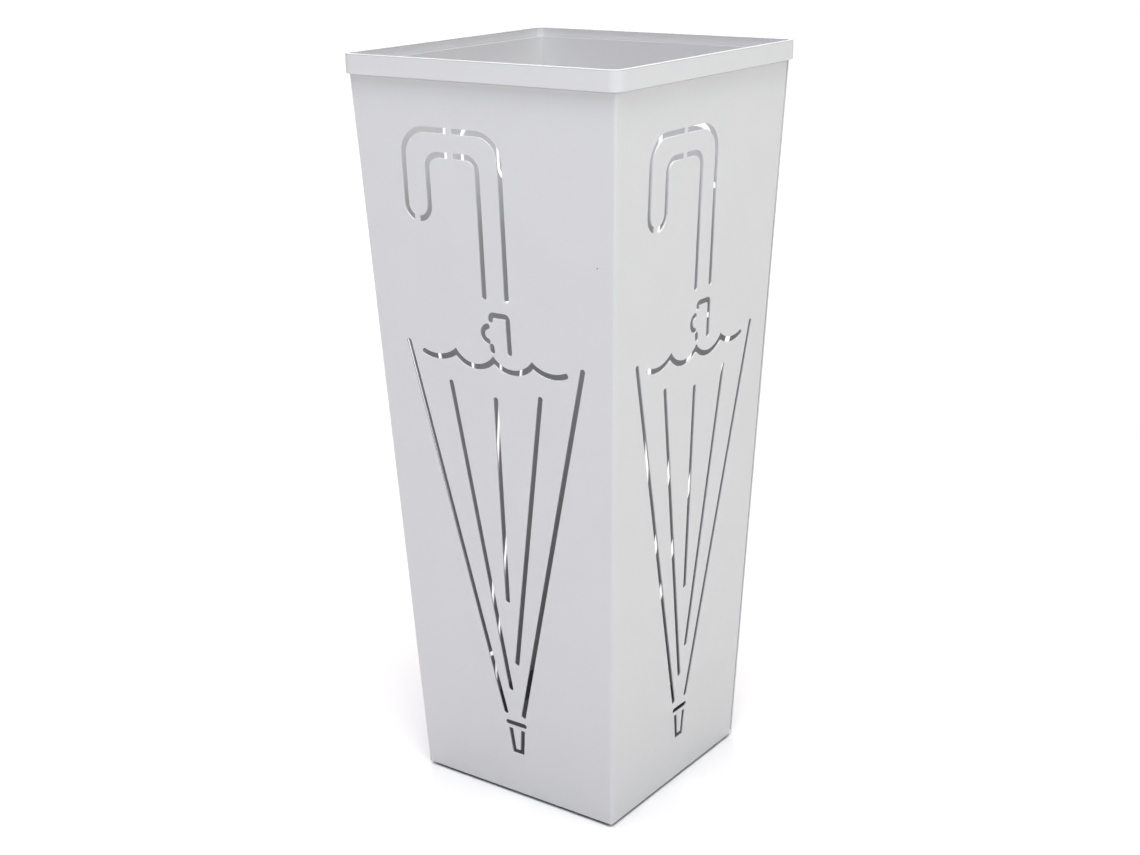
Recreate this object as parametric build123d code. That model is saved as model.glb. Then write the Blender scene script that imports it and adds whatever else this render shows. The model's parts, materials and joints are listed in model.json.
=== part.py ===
from build123d import *

import os
from math import atan2, degrees, sqrt

# Square, tapered umbrella stand in powder-coated sheet steel.
#
# Two identical folded panels make the four walls. A flat steel band stiffens the
# mouth, a base plate closes the bottom on four rubber feet, and a loose drip tray
# lies inside. Every wall carries the same cut-out drawing of a closed umbrella.
#
# Units are millimetres. +Z is up, the origin is on the floor under the middle of
# the stand, and the wall facing -Y is called the front.

# Overall size
HEIGHT = 480.0                  # floor to the top of the rim
RIM_WIDTH = 200.0               # outside of the rim
BASE_WIDTH = 150.0              # outside of the walls at their bottom edge
FOOT_STANDOFF = 2.0             # floor to the bottom edge of the walls

# Sheet steel
SHEET = 1.0
FOLD_RADIUS = 1.75              # outside of every fold
LAP = 14.0                      # width of the flange behind a seam
LAP_BOTTOM = 12.0               # the flange starts this far above the floor
SEAM_GAP = 0.05                 # paint thickness between lapped sheets
RETURN = 12.0                   # width of the inward flange at the bottom
RETURN_GAP = 0.4                # half the mitre gap between return flanges
BOTTOM_ROUND = 0.8              # rounding of the bottom edge
CORNER_RELIEF = 3.0             # bevel at the bottom of each seam
RIM_RELIEF = 1.5                # the free end of a wall is cut back this much in the rim

# Rim band
RIM_HEIGHT = 12.0
RIM_THICKNESS = 2.5
RIM_CORNER = 7.0                # outside corner radius
RIM_EDGE = 0.5                  # rounding of the long edges
WALL_TOP = HEIGHT - 6.0         # the walls end inside the rim

# Base plate, feet and tray
PLATE = 1.2
PLATE_CLEARANCE = 0.25
PLATE_BEVEL = 4.0
FOOT_POSITION = 54.0            # from the middle, along X and along Y
FOOT_RADIUS = 8.0
FOOT_ROUND = 0.8                # rounding of the edge that stands on the floor
STEM_RADIUS = 3.0
STEM_HOLE_RADIUS = 3.05
HEAD_RADIUS = 5.0
HEAD_HEIGHT = 2.0
HEAD_CHAMFER = 0.6
TRAY_HEIGHT = 22.0
TRAY_BOTTOM_WIDTH = 138.0
TRAY_TOP_WIDTH = 141.0
TRAY_LIP_WIDTH = 144.0
TRAY_LIP = 1.6
TRAY_WALL = 1.5
TRAY_CORNER = 10.0
TRAY_ROUND = 3.0                # rounding of the outside bottom edge

# Umbrella drawing: (across, up) on a wall, with across to the viewer's right
# from the middle of the wall and up from the floor
SLOT = 3.6                      # width of every cut
BRIDGE = 3.8                    # width of the metal left across a cut
SHAFT_LEFT = -3.3
SHAFT_RIGHT = 13.4
SHAFT_BOTTOM = 339.5
HANDLE_LEFT = -58.6
HANDLE_INNER_LEFT = -40.8
HANDLE_TOP = 438.7
HANDLE_INNER_TOP = 424.2
HANDLE_CORNER = 16.5
HANDLE_INNER_CORNER = 8.3
HANDLE_TIP = 393.3              # where the hook's end starts to round over
HANDLE_BRIDGE = -22.3           # across position of the two bridges in the bars
TIP_BRIDGE = -51.0              # across position of the bridge in the hook's end
STRAP = [(0.4, 327.5), (0.4, 330.8), (13.3, 330.8), (13.6, 308.5)]
STRAP_CORNER = 2.2
STRAP_LOOP = [(-2.3, 323.3), (-6.0, 318.6), (-2.2, 313.9)]
STRAP_END = [(0.1, 312.8), (1.0, 306.5)]
CUSPS = [(-53.1, 300.4), (-28.2, 303.6), (0.8, 302.3), (30.0, 303.3), (54.3, 300.5)]
HEM_LOWS = [(-41.5, 298.6), (-14.5, 296.4), (14.8, 296.4), (42.8, 298.6)]
RIB_TIPS = [
    [(-65.6, 306.8), (-5.4, 59.3)],
    [(-33.6, 284.8), (-0.3, 77.6)],
    [(0.9, 278.8), (1.0, 140.6)],
    [(35.0, 284.8), (5.4, 97.2)],
    [(67.0, 306.8), (8.0, 59.3)],
]
COLLAR_TIPS = [(-6.4, 53.6), (10.4, 53.6)]
FERRULE_OUTSIDE = [(-4.3, 49.8), (-1.9, 31.6), (7.2, 31.6), (8.8, 49.8)]
FERRULE_INSIDE = [(-0.9, 49.8), (0.9, 35.0), (4.3, 35.0), (5.5, 49.8)]

# Worked out from the sizes above
RIM_INNER = RIM_WIDTH / 2 - RIM_THICKNESS
RIM_INNER_CORNER = RIM_CORNER - RIM_THICKNESS
# the folded corners of the walls just nest in the rounded corners of the rim
TOP_HALF = RIM_INNER - (1 - 1 / sqrt(2)) * (RIM_INNER_CORNER - FOLD_RADIUS)
BASE_HALF = BASE_WIDTH / 2
SLOPE = (TOP_HALF - BASE_HALF) / (WALL_TOP - FOOT_STANDOFF)
PLATE_BOTTOM = FOOT_STANDOFF + SHEET
PLATE_TOP = PLATE_BOTTOM + PLATE
HEAD_TOP = PLATE_TOP + HEAD_HEIGHT


def wall_half(up):
    """Half the outside width of the walls at a height above the floor."""
    return BASE_HALF + SLOPE * (up - FOOT_STANDOFF)


def wall_plane(quarter_turns):
    """Drawing plane on the outside of a wall; 0 is the front, 1 faces +X."""
    front = Plane(origin=(0, -wall_half(0), 0), x_dir=(1, 0, 0), z_dir=(0, -1, -SLOPE))
    return Plane(Rot(0, 0, 90 * quarter_turns) * front.location)


def tapered_block(left, front, right, back, low=FOOT_STANDOFF, high=WALL_TOP):
    """Block whose four sides run parallel to the walls, each set in by its margin."""
    corners = []
    for up in (low, high):
        half = wall_half(up)
        x_range = (left - half, half - right)
        y_range = (front - half, half - back)
        corners += [Vector(x, y, up) for x in x_range for y in y_range]
    sides = [(0, 1, 3, 2), (4, 6, 7, 5), (0, 2, 6, 4), (1, 5, 7, 3), (0, 4, 5, 1), (2, 3, 7, 6)]
    faces = [Face(Wire.make_polygon([corners[i] for i in side])) for side in sides]
    return Solid(Shell(faces))


def fold(block, radius):
    """Round the two upright edges on the +X side, where the sheet is folded."""
    uprights = [edge for edge in block.edges() if abs((edge % 0.5).Z) > 0.9]
    folds = [edge for edge in uprights if (edge @ 0.5).X > 0]
    return fillet(folds, radius)


def rounded_slot(tip_a, tip_b):
    """Straight cut with round ends, measured tip to tip."""
    start, end = Vector(*tip_a), Vector(*tip_b)
    middle = (start + end) / 2
    angle = degrees(atan2(end.Y - start.Y, end.X - start.X))
    return Pos(middle.X, middle.Y) * SlotOverall((end - start).length, SLOT, rotation=angle)


def stroke(path):
    """Cut of the slot's width along a path, with round ends."""
    return make_face(offset(path, SLOT / 2, side=Side.BOTH))


def handle_cut():
    """Outline of the crook handle, left joined to the wall by three bridges."""
    tip_radius = (HANDLE_INNER_LEFT - HANDLE_LEFT) / 2
    tip_middle = HANDLE_LEFT + tip_radius
    with BuildLine() as outline:
        FilletPolyline(
            (SHAFT_RIGHT, SHAFT_BOTTOM + SLOT / 2),
            (SHAFT_RIGHT, HANDLE_TOP),
            (HANDLE_LEFT, HANDLE_TOP),
            (HANDLE_LEFT, HANDLE_TIP),
            radius=HANDLE_CORNER,
        )
        ThreePointArc(
            (HANDLE_LEFT, HANDLE_TIP),
            (tip_middle, HANDLE_TIP - tip_radius),
            (HANDLE_INNER_LEFT, HANDLE_TIP),
        )
        FilletPolyline(
            (HANDLE_INNER_LEFT, HANDLE_TIP),
            (HANDLE_INNER_LEFT, HANDLE_INNER_TOP),
            (SHAFT_LEFT, HANDLE_INNER_TOP),
            (SHAFT_LEFT, SHAFT_BOTTOM + SLOT / 2),
            radius=HANDLE_INNER_CORNER,
        )
    cut = stroke(outline.wire())
    bar_middle = (HANDLE_TOP + HANDLE_INNER_TOP) / 2
    bar_bridge = Rectangle(BRIDGE, HANDLE_TOP - HANDLE_INNER_TOP + 3 * SLOT)
    tip_bridge = Rectangle(BRIDGE, 4 * SLOT)
    cut -= Pos(HANDLE_BRIDGE, bar_middle) * bar_bridge
    cut -= Pos(TIP_BRIDGE, HANDLE_TIP - tip_radius) * tip_bridge
    return cut


def strap_cut():
    """The closing strap below the shaft, in three pieces."""
    strap = stroke(FilletPolyline(*STRAP, radius=STRAP_CORNER))
    loop = stroke(ThreePointArc(*STRAP_LOOP))
    return strap + loop + rounded_slot(*STRAP_END)


def hem_cut():
    """Scalloped edge of the canopy: hanging arcs that meet in sharp cusps."""
    cut = Sketch()
    for left, low, right in zip(CUSPS, HEM_LOWS, CUSPS[1:]):
        arc = ThreePointArc(left, low, right)
        centre, radius = arc.arc_center, arc.radius
        ring = Circle(radius + SLOT / 2) - Circle(radius - SLOT / 2)
        window = Rectangle(right[0] - left[0], 8 * SLOT)
        cut += (Pos(centre.X, centre.Y) * ring) & (Pos((left[0] + right[0]) / 2, low[1]) * window)
    for end in (CUSPS[0], CUSPS[-1]):
        cut += Pos(*end) * Circle(SLOT / 2)
    return cut


def ferrule_cut():
    """The tip: a collar bar over a small cup shape."""
    cup = Polygon(*FERRULE_OUTSIDE, align=None) - Polygon(*FERRULE_INSIDE, align=None)
    return cup + rounded_slot(*COLLAR_TIPS)


def umbrella_cuts():
    """The whole drawing, flat."""
    cuts = handle_cut() + strap_cut() + hem_cut() + ferrule_cut()
    for tips in RIB_TIPS:
        cuts += rounded_slot(*tips)
    return cuts


def outer_bottom_edges(block):
    """Bottom edges of the front and +X walls and of the fold between them."""
    bottom = block.edges().group_by(Axis.Z)[0]
    return [edge for edge in bottom if (edge @ 0.5).X - (edge @ 0.5).Y > SHEET]


def return_flanges():
    """Inward flanges along the bottom of the front and +X walls, mitred."""
    outer = BASE_HALF - BOTTOM_ROUND
    inner = BASE_HALF - RETURN
    gap = RETURN_GAP * sqrt(2)
    front = Polygon(
        (-outer + CORNER_RELIEF + gap, -outer),
        (outer - gap, -outer),
        (inner - gap, -inner),
        (-inner + CORNER_RELIEF + gap, -inner),
        align=None,
    )
    slab = Pos(0, 0, FOOT_STANDOFF) * extrude(front, SHEET)
    return slab + Rot(0, 0, 90) * slab


def free_end_cuts():
    """Bevel at the bottom of the front wall's free end, and its notch in the rim."""
    bevel = Polygon((0, 0), (CORNER_RELIEF, 0), (0, CORNER_RELIEF), align=None)
    bevel = Plane.XZ * Pos(-BASE_HALF, FOOT_STANDOFF) * bevel
    bevel = Pos(0, -BASE_HALF, 0) * extrude(bevel, 2 * SHEET, both=True)
    notch = Box(2 * RIM_RELIEF, 4 * SHEET, 2 * RIM_HEIGHT)
    return bevel + Pos(-TOP_HALF, -TOP_HALF, HEIGHT) * notch


def wall_panel():
    """Front and +X walls with the lap flange, cut and folded from one sheet."""
    past = -BASE_HALF  # a margin that reaches well outside the walls
    lap_face = SHEET + SEAM_GAP
    outside = fold(tapered_block(0, 0, 0, lap_face), FOLD_RADIUS)
    outside = fillet(outer_bottom_edges(outside), BOTTOM_ROUND)
    inside = fold(
        tapered_block(past, SHEET, SHEET, lap_face + SHEET, low=0, high=HEIGHT),
        FOLD_RADIUS - SHEET,
    )
    panel = outside - inside
    panel -= tapered_block(past, BASE_HALF, LAP, past, low=0, high=HEIGHT)
    panel -= tapered_block(past, BASE_HALF, FOLD_RADIUS, past, low=0, high=LAP_BOTTOM)
    panel += return_flanges()
    panel -= free_end_cuts()
    cuts = umbrella_cuts()
    for quarter_turns in (0, 1):
        panel -= extrude(wall_plane(quarter_turns) * cuts, 3 * SHEET, both=True)
    return panel


def rim_band():
    """Flat band with rounded corners around the mouth."""
    inner_width = 2 * RIM_INNER
    ring = RectangleRounded(RIM_WIDTH, RIM_WIDTH, RIM_CORNER)
    ring -= RectangleRounded(inner_width, inner_width, RIM_INNER_CORNER)
    band = Pos(0, 0, HEIGHT - RIM_HEIGHT) * extrude(ring, RIM_HEIGHT)
    long_edges = band.edges().group_by(Axis.Z)[0] + band.edges().group_by(Axis.Z)[-1]
    return fillet(long_edges, RIM_EDGE)


def foot_places():
    """Middle of each foot, named by the corner it stands at."""
    return {
        "front": (FOOT_POSITION, -FOOT_POSITION),
        "right": (FOOT_POSITION, FOOT_POSITION),
        "rear": (-FOOT_POSITION, FOOT_POSITION),
        "left": (-FOOT_POSITION, -FOOT_POSITION),
    }


def base_plate():
    """Plate that lies on the return flanges, with a hole for each foot."""
    width = 2 * (wall_half(PLATE_BOTTOM) - SHEET - PLATE_CLEARANCE)
    plate = extrude(Rectangle(width, width), PLATE)
    plate = chamfer(plate.edges().filter_by(Axis.Z), PLATE_BEVEL)
    for place in foot_places().values():
        plate -= Pos(*place) * Cylinder(STEM_HOLE_RADIUS, 4 * PLATE)
    return Pos(0, 0, PLATE_BOTTOM) * plate


def foot(place):
    """Rubber foot pushed through the base plate from below."""
    bottom = (Align.CENTER, Align.CENTER, Align.MIN)
    pad = Cylinder(FOOT_RADIUS, PLATE_BOTTOM, align=bottom)
    pad = fillet(pad.edges().group_by(Axis.Z)[0], FOOT_ROUND)
    stem = Cylinder(STEM_RADIUS, HEAD_TOP, align=bottom)
    head = Pos(0, 0, PLATE_TOP) * Cylinder(HEAD_RADIUS, HEAD_HEIGHT, align=bottom)
    head = chamfer(head.edges().group_by(Axis.Z)[-1], HEAD_CHAMFER)
    return Pos(*place) * (pad + stem + head)


def tray_block(bottom_width, top_width, corner, low, high):
    """Tapered block with round corners, for the outside or inside of the tray."""
    sections = [
        Plane.XY.offset(up) * RectangleRounded(width, width, corner)
        for width, up in ((bottom_width, low), (top_width, high))
    ]
    return loft(sections, ruled=True)


def drip_tray():
    """Loose tray that rests on the heads of the four feet."""
    top = HEAD_TOP + TRAY_HEIGHT
    tray = tray_block(TRAY_BOTTOM_WIDTH, TRAY_TOP_WIDTH, TRAY_CORNER, HEAD_TOP, top)
    tray = fillet(tray.edges().group_by(Axis.Z)[0], TRAY_ROUND)
    overhang = (TRAY_LIP_WIDTH - TRAY_TOP_WIDTH) / 2
    lip = RectangleRounded(TRAY_LIP_WIDTH, TRAY_LIP_WIDTH, TRAY_CORNER + overhang)
    lip = extrude(lip, TRAY_LIP)
    tray += Pos(0, 0, top - TRAY_LIP) * lip
    hollow = tray_block(
        TRAY_BOTTOM_WIDTH - 2 * TRAY_WALL,
        TRAY_TOP_WIDTH - 2 * TRAY_WALL,
        TRAY_CORNER - TRAY_WALL,
        HEAD_TOP + TRAY_WALL,
        top,
    )
    hollow = fillet(hollow.edges().group_by(Axis.Z)[0], TRAY_ROUND - TRAY_WALL)
    return tray - hollow


def main():
    os.makedirs("parts", exist_ok=True)
    panel = wall_panel()
    pieces = {
        "front_panel": panel,
        "rear_panel": Rot(0, 0, 180) * panel,
        "rim_band": rim_band(),
        "base_plate": base_plate(),
        "drip_tray": drip_tray(),
    }
    for name, place in foot_places().items():
        pieces[f"foot_{name}"] = foot(place)
    for name, piece in pieces.items():
        export_step(piece, f"parts/{name}.step")


main()
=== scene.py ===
import json
import math

import bpy
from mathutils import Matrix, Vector


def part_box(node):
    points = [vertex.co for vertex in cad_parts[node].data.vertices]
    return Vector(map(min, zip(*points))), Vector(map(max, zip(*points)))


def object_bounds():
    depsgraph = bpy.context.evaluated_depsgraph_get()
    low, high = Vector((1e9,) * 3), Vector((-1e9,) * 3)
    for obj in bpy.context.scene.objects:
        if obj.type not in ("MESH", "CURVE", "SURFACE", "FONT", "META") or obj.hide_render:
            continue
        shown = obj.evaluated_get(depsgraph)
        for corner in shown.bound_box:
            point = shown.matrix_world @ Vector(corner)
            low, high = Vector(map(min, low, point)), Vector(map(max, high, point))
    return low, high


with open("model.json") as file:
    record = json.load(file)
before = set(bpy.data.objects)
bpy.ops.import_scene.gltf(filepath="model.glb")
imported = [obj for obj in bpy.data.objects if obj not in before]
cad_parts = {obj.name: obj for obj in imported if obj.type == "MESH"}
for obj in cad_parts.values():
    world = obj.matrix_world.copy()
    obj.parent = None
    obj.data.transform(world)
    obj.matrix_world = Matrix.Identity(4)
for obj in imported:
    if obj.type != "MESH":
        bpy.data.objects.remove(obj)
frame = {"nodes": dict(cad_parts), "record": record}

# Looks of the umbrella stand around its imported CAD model. Metres, +Z up.
CAD_LOW, CAD_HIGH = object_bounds()
HEIGHT = CAD_HIGH.z

# Camera, as solved from the edges and cut-outs of the photograph
CAMERA_AZIMUTH = 35.77
CAMERA_ELEVATION = 17.98
CAMERA_ROLL = math.radians(-0.87)
CAMERA_DISTANCE = 2.331 * HEIGHT
CAMERA_RIGHT = -0.0119 * HEIGHT
CAMERA_UP = -0.0093 * HEIGHT
LENS = 54.1
SENSOR = 36.0

FLOOR_SIZE = 60.0
FLOOR_GLOW = 1.0        # brightness of the far floor, which the softboxes do not reach
GLOW_START = 0.9        # metres from the stand where the glow begins
GLOW_FULL = 2.6         # and where it is full

# Softboxes: azimuth and elevation seen from the stand, distance, width, power, colour
LIGHTS = {
    "top_light": (0, 88, 2.0, 1.6, 56.5, (1.0, 0.95, 0.96)),
    "high_light": (35, 55, 2.4, 1.4, 27.5, (0.87, 0.93, 1.0)),
    "right_light": (85, 35, 2.2, 1.4, 8.0, (0.97, 1.0, 0.82)),
    "back_light": (215, 30, 2.4, 1.4, 12.0, (1.0, 1.0, 1.0)),
}

# The walls: their box, half their width at the bottom, and the sheet they are folded from
PANEL_LOW, PANEL_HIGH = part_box("front_panel")
RIM_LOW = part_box("rim_band")[0].z
BOTTOM_HALF = 0.075
SHEET = 0.001

# Powder coat: its colour, and two blends over it with the same mean
COAT_PATCHES = ((0.690, 0.690, 0.705), (0.710, 0.710, 0.725))
COAT_GRAIN = ((0.680, 0.680, 0.695), (0.720, 0.720, 0.735))
# Dark grey blended into the coat as painted shade: deep inside, in the crease under the rim
# and on the rim's top edge
SHADE_GREY = (0.09, 0.09, 0.095)
SPECK = (0.20, 0.19, 0.18)
SPECK_SPACING = 0.045   # about one speck in a cube of this side
SPECK_CORE = 0.008      # radius of a speck's dark core and of its edge, in spacings
SPECK_EDGE = 0.014

# Where painted shade darkens the coat, and by how much
INNER_SHADE_TOP = 0.405       # on the inner side, from nothing at this height
INNER_SHADE_FULL = 0.35        # to its full share from here down
DEEP_SHADE_SHARE = 0.5
CREASE = 0.0014         # height of the painted shadow in the crease under the rim
CREASE_GAP = 0.00014    # kept clear below the rim band, so that the band stays light
CREASE_SHADOW_SHARE = 0.3
RIM_TOP_SHADE_SHARE = 0.25     # painted shade on the rim's top edge, which dims its highlight


class Nodes:
    """Short way to write a material's node tree, around one Principled shader."""

    def __init__(self, material):
        material.use_nodes = True
        self.tree = material.node_tree
        self.tree.nodes.clear()
        self.shader = self.add("ShaderNodeBsdfPrincipled")
        output = self.add("ShaderNodeOutputMaterial")
        self.link(self.shader.outputs["BSDF"], output.inputs["Surface"])
        self.place = self.add("ShaderNodeTexCoord").outputs["Object"]

    def add(self, kind, **settings):
        node = self.tree.nodes.new(kind)
        for name, value in settings.items():
            setattr(node, name, value)
        return node

    def link(self, source, target):
        self.tree.links.new(source, target)

    def surface(self, colour, roughness, normal):
        """Wire the shader's three textured inputs."""
        self.link(colour, self.shader.inputs["Base Color"])
        self.link(roughness, self.shader.inputs["Roughness"])
        self.link(normal, self.shader.inputs["Normal"])

    def calc(self, operation, first, second=None):
        """Math node on one or two values; each is a number or another node's output."""
        node = self.add("ShaderNodeMath", operation=operation)
        for value, socket in ((first, node.inputs[0]), (second, node.inputs[1])):
            if isinstance(value, (int, float)):
                socket.default_value = value
            elif value is not None:
                self.link(value, socket)
        return node.outputs[0]

    def noise(self, size, detail=2.0, roughness=0.5):
        """Noise whose features are about size metres across."""
        node = self.add("ShaderNodeTexNoise")
        node.inputs["Scale"].default_value = 1 / size
        node.inputs["Detail"].default_value = detail
        node.inputs["Roughness"].default_value = roughness
        self.link(self.place, node.inputs["Vector"])
        return node.outputs["Fac"]

    def remap(self, value, low, high, to_low, to_high):
        """Linear map of low..high to to_low..to_high, held at its ends."""
        node = self.add("ShaderNodeMapRange")
        node.inputs["From Min"].default_value = low
        node.inputs["From Max"].default_value = high
        node.inputs["To Min"].default_value = to_low
        node.inputs["To Max"].default_value = to_high
        self.link(value, node.inputs["Value"])
        return node.outputs["Result"]

    def blend(self, share, first, second):
        """Colour between two colours; each input is a value or another node's output."""
        node = self.add("ShaderNodeMix", data_type="RGBA")
        if isinstance(share, float):
            node.inputs["Factor"].default_value = share
        else:
            self.link(share, node.inputs["Factor"])
        for colour, socket in zip((first, second), node.inputs[6:8]):
            if isinstance(colour, tuple):
                socket.default_value = (*colour, 1)
            else:
                self.link(colour, socket)
        return node.outputs[2]

    def bump(self, height, depth, under=None):
        """Bump of a real depth in metres, on top of another bump's normal."""
        node = self.add("ShaderNodeBump")
        node.inputs["Strength"].default_value = 1.0
        node.inputs["Distance"].default_value = depth
        self.link(height, node.inputs["Height"])
        if under is not None:
            self.link(under, node.inputs["Normal"])
        return node.outputs["Normal"]


def painted_shade_share(nodes):
    """Share of painted shade in the coat: deep inside, as a painted shadow in the crease
    under the rim, and on the rim's top edge to dim its highlight.
    """
    axes = nodes.add("ShaderNodeSeparateXYZ")
    nodes.link(nodes.place, axes.inputs["Vector"])
    x, y, z = axes.outputs
    across = nodes.calc("MAXIMUM", nodes.calc("ABSOLUTE", x), nodes.calc("ABSOLUTE", y))
    low_half = BOTTOM_HALF - SHEET / 2
    high_half = PANEL_HIGH.x - SHEET / 2
    mid_sheet = nodes.remap(z, PANEL_LOW.z, PANEL_HIGH.z, low_half, high_half)
    inside = nodes.calc("LESS_THAN", across, mid_sheet)
    outside = nodes.calc("SUBTRACT", 1.0, inside)
    below_rim = nodes.calc("LESS_THAN", z, RIM_LOW - CREASE_GAP)
    # painted shade deep inside the stand, growing towards the bottom
    deep = nodes.remap(z, INNER_SHADE_FULL, INNER_SHADE_TOP, DEEP_SHADE_SHARE, 0.0)
    # painted shadow in the crease just under the rim band
    crease = nodes.remap(z, RIM_LOW - CREASE, RIM_LOW - CREASE / 2, 0.0, CREASE_SHADOW_SHARE)
    # painted shade on the rim's top edge, dimming the highlight there
    rim_top_shade = nodes.remap(z, HEIGHT - SHEET, HEIGHT - SHEET / 2, 0.0, RIM_TOP_SHADE_SHARE)
    deep = nodes.calc("MULTIPLY", inside, deep)
    crease = nodes.calc("MULTIPLY", nodes.calc("MULTIPLY", outside, crease), below_rim)
    return nodes.calc("MAXIMUM", nodes.calc("MAXIMUM", deep, crease), rim_top_shade)


def powder_coat():
    """Satin light grey powder coat: orange peel, faint mottling, rare dark specks."""
    material = bpy.data.materials.new("powder_coat")
    nodes = Nodes(material)
    mottle = nodes.remap(nodes.noise(0.035, 3.0), 0.35, 0.65, 0.0, 1.0)
    grain = nodes.remap(nodes.noise(0.0007, 2.0), 0.3, 0.7, 0.0, 1.0)
    coat = nodes.blend(
        0.5, nodes.blend(mottle, *COAT_PATCHES), nodes.blend(grain, *COAT_GRAIN)
    )
    cells = nodes.add("ShaderNodeTexVoronoi")
    cells.inputs["Scale"].default_value = 1 / SPECK_SPACING
    nodes.link(nodes.place, cells.inputs["Vector"])
    speck = nodes.remap(cells.outputs["Distance"], SPECK_CORE, SPECK_EDGE, 1.0, 0.0)
    coat = nodes.blend(speck, coat, SPECK)
    orange_peel = nodes.bump(nodes.noise(0.0018, 1.0), 0.00002)
    nodes.surface(
        # painted shade: the coat is darkened towards dark grey inside, under the rim and on
        # the rim's top edge
        colour=nodes.blend(painted_shade_share(nodes), coat, SHADE_GREY),
        roughness=nodes.remap(nodes.noise(0.012, 3.0), 0.3, 0.7, 0.38, 0.46),
        normal=nodes.bump(nodes.noise(0.0005, 1.0), 0.000006, orange_peel),
    )
    return material


def tray_plastic():
    """Dark moulded plastic with a fine spark-eroded texture and a little dust."""
    material = bpy.data.materials.new("tray_plastic")
    nodes = Nodes(material)
    dust = nodes.remap(nodes.noise(0.02, 4.0), 0.45, 0.75, 0.0, 1.0)
    nodes.surface(
        colour=nodes.blend(dust, (0.085, 0.085, 0.09), (0.12, 0.12, 0.122)),
        roughness=nodes.remap(nodes.noise(0.008, 2.0), 0.3, 0.7, 0.5, 0.62),
        normal=nodes.bump(nodes.noise(0.0004, 2.0), 0.00003),
    )
    return material


def foot_rubber():
    """Matt black rubber with a faint bloom."""
    material = bpy.data.materials.new("foot_rubber")
    nodes = Nodes(material)
    bloom = nodes.remap(nodes.noise(0.003, 3.0), 0.4, 0.7, 0.0, 1.0)
    nodes.surface(
        colour=nodes.blend(bloom, (0.035, 0.035, 0.035), (0.06, 0.06, 0.058)),
        roughness=nodes.remap(nodes.noise(0.002, 2.0), 0.3, 0.7, 0.7, 0.85),
        normal=nodes.bump(nodes.noise(0.0006, 2.0), 0.00004),
    )
    return material


def dress_nodes():
    """Give every CAD node the material of its slot in the record."""
    materials = {
        "powder_coat": powder_coat(),
        "tray_plastic": tray_plastic(),
        "foot_rubber": foot_rubber(),
    }
    for subpart in frame["record"]["subparts"]:
        node = frame["nodes"][subpart["node"]]
        node.data.materials.clear()
        node.data.materials.append(materials[subpart["material_slot"]])


def stage_floor():
    """Plain near-white floor, lit by the softboxes near the stand and glowing far from it."""
    bpy.ops.mesh.primitive_plane_add(size=FLOOR_SIZE)
    floor = bpy.context.object
    floor.name = "floor"
    material = bpy.data.materials.new("floor")
    nodes = Nodes(material)
    nodes.shader.inputs["Roughness"].default_value = 0.8
    nodes.shader.inputs["Base Color"].default_value = (0.93, 0.93, 0.93, 1)
    nodes.shader.inputs["Emission Color"].default_value = (1, 1, 1, 1)
    distance = nodes.add("ShaderNodeVectorMath", operation="LENGTH")
    nodes.link(nodes.place, distance.inputs[0])
    glow = nodes.remap(distance.outputs["Value"], GLOW_START, GLOW_FULL, 0.0, FLOOR_GLOW)
    nodes.link(glow, nodes.shader.inputs["Emission Strength"])
    floor.data.materials.append(material)


def direction(azimuth, elevation):
    """Unit vector from the stand; azimuth 0 is in front of it, 90 is its +X side."""
    azimuth, elevation = math.radians(azimuth), math.radians(elevation)
    return Vector((
        math.sin(azimuth) * math.cos(elevation),
        -math.cos(azimuth) * math.cos(elevation),
        math.sin(elevation),
    ))


def soft_light(name, azimuth, elevation, distance, width, power, colour):
    """Square softbox that faces the middle of the stand."""
    light = bpy.data.lights.new(name, "AREA")
    light.size = width
    light.energy = power
    light.color = colour
    lamp = bpy.data.objects.new(name, light)
    towards = direction(azimuth, elevation)
    lamp.location = Vector((0, 0, HEIGHT / 2)) + distance * towards
    lamp.rotation_euler = towards.to_track_quat("Z", "Y").to_euler()
    bpy.context.scene.collection.objects.link(lamp)


def studio():
    """Softboxes, and a white backdrop above the horizon that lights nothing."""
    scene = bpy.context.scene
    scene.view_settings.view_transform = "Standard"
    world = bpy.data.worlds.new("studio")
    scene.world = world
    world.use_nodes = True
    backdrop = world.node_tree.nodes["Background"]
    backdrop.inputs["Color"].default_value = (1, 1, 1, 1)
    seen = world.node_tree.nodes.new("ShaderNodeLightPath").outputs["Is Camera Ray"]
    world.node_tree.links.new(seen, backdrop.inputs["Strength"])
    for name, settings in LIGHTS.items():
        soft_light(name, *settings)


def camera():
    """Camera at the photograph's viewing angle."""
    back = direction(CAMERA_AZIMUTH, CAMERA_ELEVATION)
    right = direction(CAMERA_AZIMUTH + 90, 0)
    up = back.cross(right)
    data = bpy.data.cameras.new("camera")
    data.lens = LENS
    data.sensor_width = SENSOR
    lens = bpy.data.objects.new("camera", data)
    lens.location = (
        Vector((0, 0, HEIGHT / 2))
        + back * CAMERA_DISTANCE
        + right * CAMERA_RIGHT
        + up * CAMERA_UP
    )
    turn = (-back).to_track_quat("-Z", "Y").to_matrix().to_4x4()
    roll = turn.Rotation(CAMERA_ROLL, 4, "Z")
    lens.rotation_euler = (turn @ roll).to_euler()
    bpy.context.scene.collection.objects.link(lens)
    bpy.context.scene.camera = lens


camera()
studio()
stage_floor()
dress_nodes()
